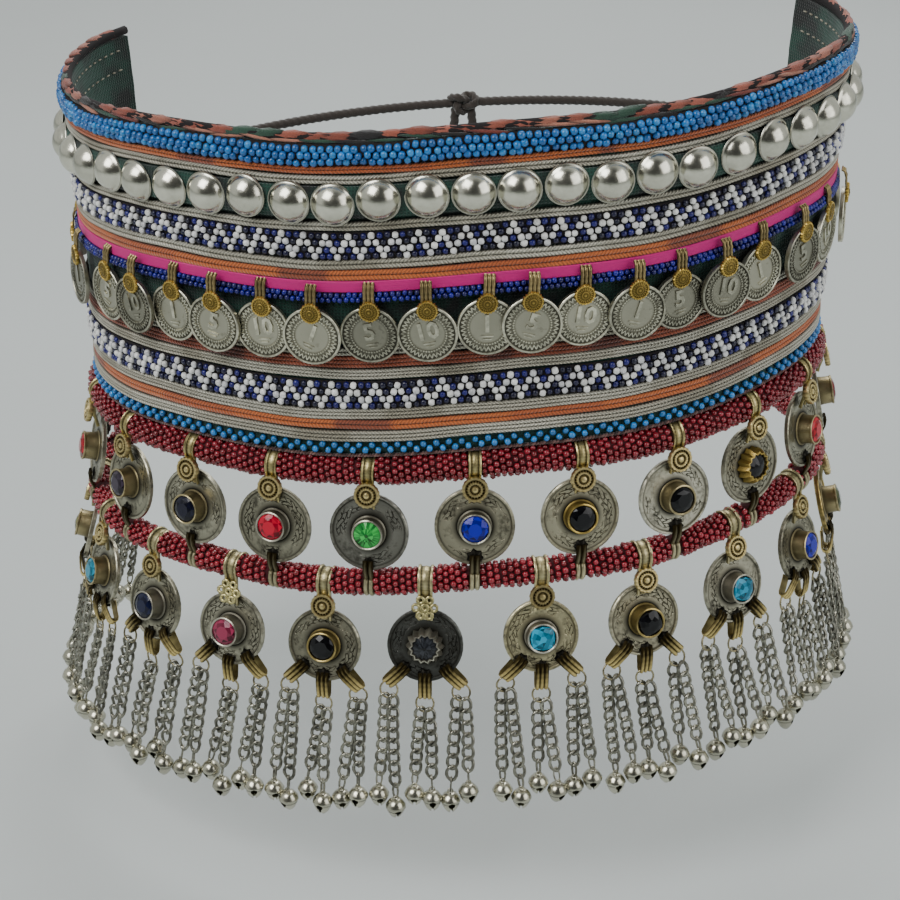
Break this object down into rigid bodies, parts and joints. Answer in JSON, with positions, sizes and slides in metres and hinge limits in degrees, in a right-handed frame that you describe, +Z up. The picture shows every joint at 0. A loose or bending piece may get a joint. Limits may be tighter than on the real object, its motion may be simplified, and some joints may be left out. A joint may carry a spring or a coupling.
{
  "type": "coin belt",
  "caption": "Worn tribal dance belt: braided and beaded cloth band with domes and coins, stone set medallions on red bead ropes, and chains with bells.",
  "frame": {"origin": "centre of the ring that the belt makes round the waist, at the height of the coins", "axes": "+Z up, the wearer's front and the middle of the coin row towards -Y, +X to the right as seen from the front"},
  "size_m": [0.3249, 0.2214, 0.281],
  "materials": {
    "black_green_cotton": "woven cotton, matt, black with green",
    "rust_cotton_binding": "folded cotton binding, whipped",
    "blue_beads": "opaque turquoise blue glass seed beads",
    "nickel_domes": "pressed nickel silver domes, worn",
    "coins": "struck cupronickel coins, dark in the hollows",
    "pink_satin": "magenta satin ribbon",
    "rust_braid": "rust brown flat braid",
    "orange_braid": "orange flat braid",
    "silver_braid": "braid of metal wrapped thread",
    "navy_white_beads": "navy, black and white glass seed beads",
    "ruby_beads": "ruby glass seed beads wound on a core",
    "medallion_metal": "aged nickel silver and brass, soldered",
    "cotton_cord": "twisted cotton cord"
  },
  "bodies": {
    "root": {"band_cloth": "black_green_cotton", "bead_panel_lower": "navy_white_beads", "bead_panel_upper": "navy_white_beads", "bead_rope_lower": "ruby_beads", "bead_rope_upper": "ruby_beads", "blue_bead_roll": "blue_beads", "coin_row": "coins", "dome_row": "nickel_domes", "edge_binding": "rust_cotton_binding", "lower_medallion_01": "medallion_metal", "lower_medallion_02": "medallion_metal", "lower_medallion_03": "medallion_metal", "lower_medallion_04": "medallion_metal", "lower_medallion_05": "medallion_metal", "lower_medallion_06": "medallion_metal", "lower_medallion_07": "medallion_metal", "lower_medallion_08": "medallion_metal", "lower_medallion_09": "medallion_metal", "lower_medallion_10": "medallion_metal", "lower_medallion_11": "medallion_metal", "lower_medallion_12": "medallion_metal", "orange_braid_lower": "orange_braid", "orange_braid_over_coins": "orange_braid", "orange_braid_upper": "orange_braid", "pink_satin_strip": "pink_satin", "rust_braid_behind_coins": "rust_braid", "silver_braid_behind_coins": "silver_braid", "silver_braid_hem": "silver_braid", "silver_braid_lower": "silver_braid", "silver_braid_over_coins": "silver_braid", "silver_braid_under_coins": "silver_braid", "silver_braid_under_domes": "silver_braid", "silver_braid_upper": "silver_braid", "tie_end_left": "cotton_cord", "tie_end_right": "cotton_cord", "tie_knot": "cotton_cord", "tie_run_left": "cotton_cord", "tie_run_right": "cotton_cord", "upper_medallion_01": "medallion_metal", "upper_medallion_02": "medallion_metal", "upper_medallion_03": "medallion_metal", "upper_medallion_04": "medallion_metal", "upper_medallion_05": "medallion_metal", "upper_medallion_06": "medallion_metal", "upper_medallion_07": "medallion_metal", "upper_medallion_08": "medallion_metal", "upper_medallion_09": "medallion_metal", "upper_medallion_10": "medallion_metal", "upper_medallion_11": "medallion_metal", "upper_medallion_12": "medallion_metal"}
  },
  "joints": []
}
